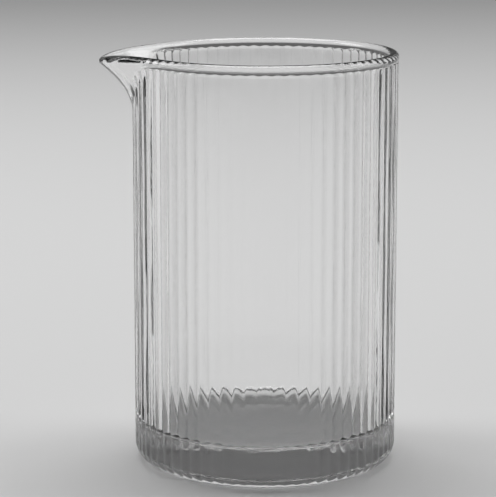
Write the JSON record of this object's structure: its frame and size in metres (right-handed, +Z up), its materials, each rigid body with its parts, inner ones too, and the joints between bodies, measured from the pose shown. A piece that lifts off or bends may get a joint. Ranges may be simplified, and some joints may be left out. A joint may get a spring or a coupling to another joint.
{
  "type": "mixing glass",
  "caption": "Straight clear glass beaker with upright reeds, a heavy flat base, a rounded lip and a drawn pouring spout, for stirring drinks with ice.",
  "frame": {"origin": "middle of the flat base, on the axis of the round body", "axes": "+Z up the axis of the body, -X towards the tip of the pouring spout"},
  "size_m": [0.1034, 0.092, 0.144],
  "materials": {
    "clear_glass": "polished clear pressed glass"
  },
  "bodies": {
    "root": {"glass_vessel": "clear_glass"}
  },
  "joints": []
}
